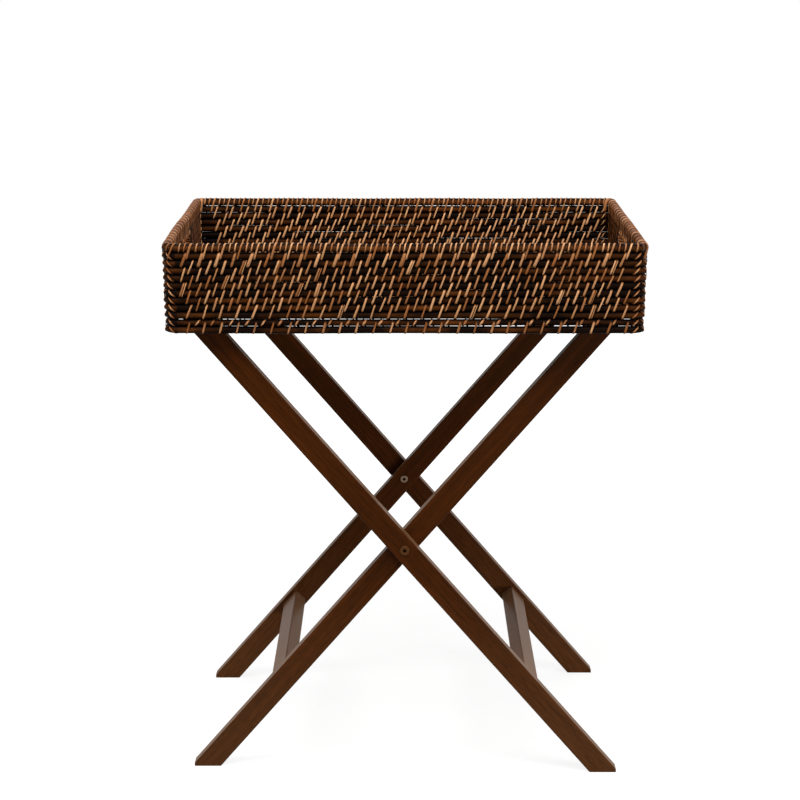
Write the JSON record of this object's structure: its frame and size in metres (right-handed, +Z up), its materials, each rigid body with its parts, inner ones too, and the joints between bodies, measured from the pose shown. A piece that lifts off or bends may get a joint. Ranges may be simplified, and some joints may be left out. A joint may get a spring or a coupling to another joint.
{
  "type": "butler's tray table",
  "caption": "Rectangular rattan butler's tray with a deep bound-cane wall and hand holes, resting on a folding cross-legged wooden stand with rails, stretchers and webbing straps.",
  "frame": {"origin": "on the floor, under the middle of the tray", "axes": "+Z up, X along the tray's length, Y from the front to the back, the camera's side at -Y"},
  "size_m": [0.6, 0.44, 0.7],
  "materials": {
    "dark_cane": "dark-stained round rattan cane, satin lacquer",
    "cane_binding": "split rattan peel, caramel, natural gloss",
    "stained_wood": "walnut-stained hardwood, satin lacquer",
    "bronzed_steel": "bronzed",
    "steel": "satin nickel",
    "brass": "antiqued",
    "webbing": "woven cotton webbing, dark brown"
  },
  "bodies": {
    "outer_frame": {"outer_leg_front": "stained_wood", "outer_leg_rear": "stained_wood", "outer_top_rail": "stained_wood", "outer_stretcher": "stained_wood", "outer_strap_tacks": "brass", "pivot_bolts": "bronzed_steel", "pivot_sleeve_nuts": "steel", "pivot_washers": "steel", "strap_front": "webbing", "strap_rear": "webbing"},
    "inner_frame": {"inner_leg_front": "stained_wood", "inner_leg_rear": "stained_wood", "inner_top_rail": "stained_wood", "inner_stretcher": "stained_wood", "inner_strap_tacks": "brass"},
    "tray": {"tray_rim": "dark_cane", "course_01": "dark_cane", "course_02": "dark_cane", "course_06": "dark_cane", "course_07": "dark_cane", "course_08": "dark_cane", "course_09": "dark_cane", "course_10": "dark_cane", "course_11": "dark_cane", "course_03_front": "dark_cane", "course_03_rear": "dark_cane", "course_04_front": "dark_cane", "course_04_rear": "dark_cane", "course_05_front": "dark_cane", "course_05_rear": "dark_cane", "hand_hole_posts": "cane_binding", "base_canes": "dark_cane"}
  },
  "joints": [
    {"name": "fold", "type": "hinge", "parent": "outer_frame", "child": "inner_frame", "pos_m": [0, 0, 0.30215], "axis": [0, -1, 0], "range_deg": [0, 75], "deforming": ["strap_front", "strap_rear"]},
    {"name": "tray_lift", "type": "slide", "parent": "outer_frame", "child": "tray", "axis": [0, 0, 1], "range_m": [0, 0.395]}
  ],
  "couplings": [
    {"joint": "tray_lift", "follows": "fold", "m_per_rad": 0.3}
  ]
}
